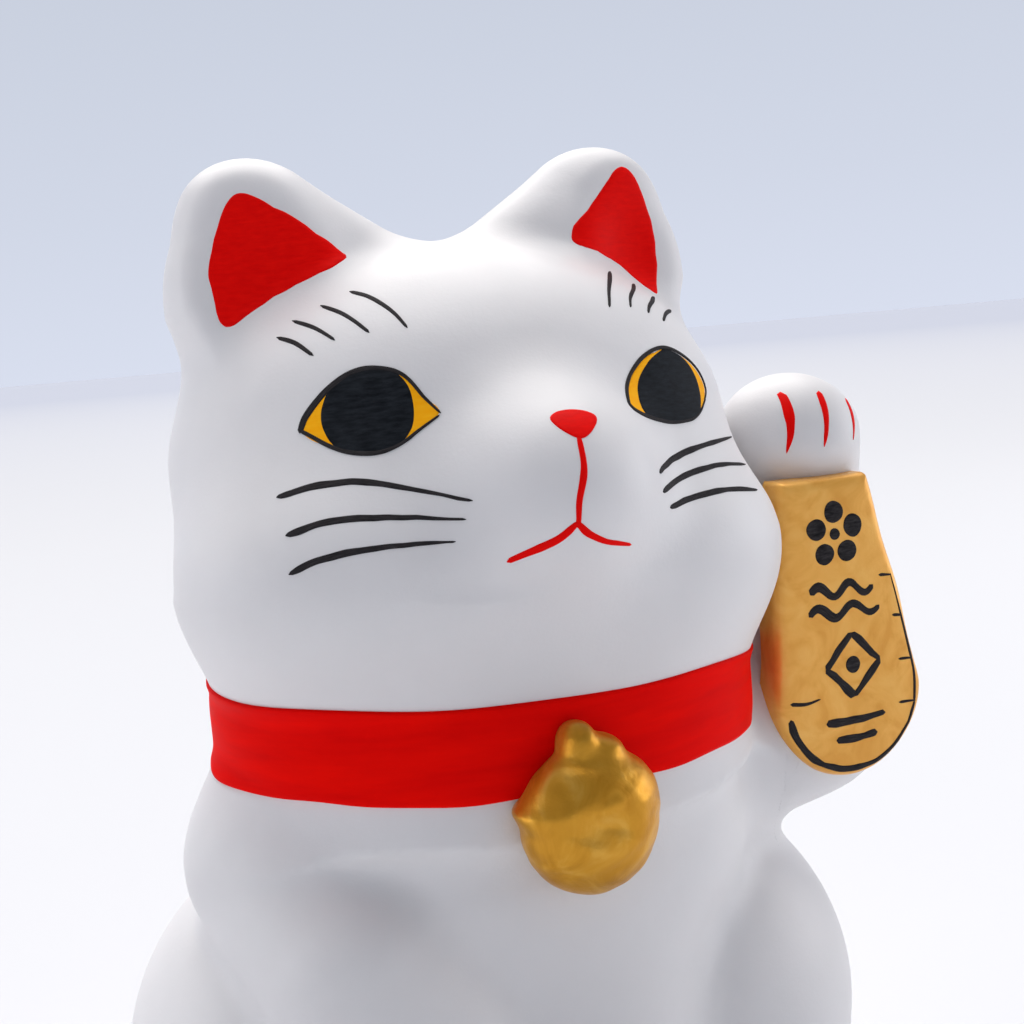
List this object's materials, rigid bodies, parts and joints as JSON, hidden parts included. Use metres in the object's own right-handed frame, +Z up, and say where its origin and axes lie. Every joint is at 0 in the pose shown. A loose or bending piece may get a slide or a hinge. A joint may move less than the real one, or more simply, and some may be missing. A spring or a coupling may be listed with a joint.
{
  "type": "beckoning cat figurine",
  "caption": "Sitting hollow ceramic cat with a raised left paw, a collar with a bell, a gold plaque on the forearm, a coin slot in the back and a pull-out stopper in the base.",
  "frame": {"origin": "on the table plane, under the middle of the figure's outline seen from above", "axes": "+Z up, -Y the way the cat faces, +X the cat's left side with the raised paw"},
  "size_m": [0.1066, 0.0834, 0.1381],
  "materials": {
    "white_ceramic": "matte, unglazed white slip with fine pits",
    "red_paint": "matte brushed red paint on ceramic",
    "gold_paint": "satin brushed gold paint on ceramic",
    "ink_black": "matte brushed black ink on ceramic",
    "eye_yellow": "matte brushed yellow paint on ceramic",
    "soft_vinyl": "matte translucent white soft vinyl"
  },
  "bodies": {
    "cat": {"torso_shell": "white_ceramic", "head_shell": "white_ceramic", "raised_arm": "white_ceramic", "tail": "white_ceramic", "collar_band": "red_paint", "bell": "gold_paint", "plaque": "gold_paint"},
    "stopper": {"base_stopper": "soft_vinyl"}
  },
  "joints": [
    {"name": "stopper_pull", "type": "slide", "parent": "cat", "child": "stopper", "axis": [0, 0, -1], "range_m": [0, 0.03]}
  ]
}
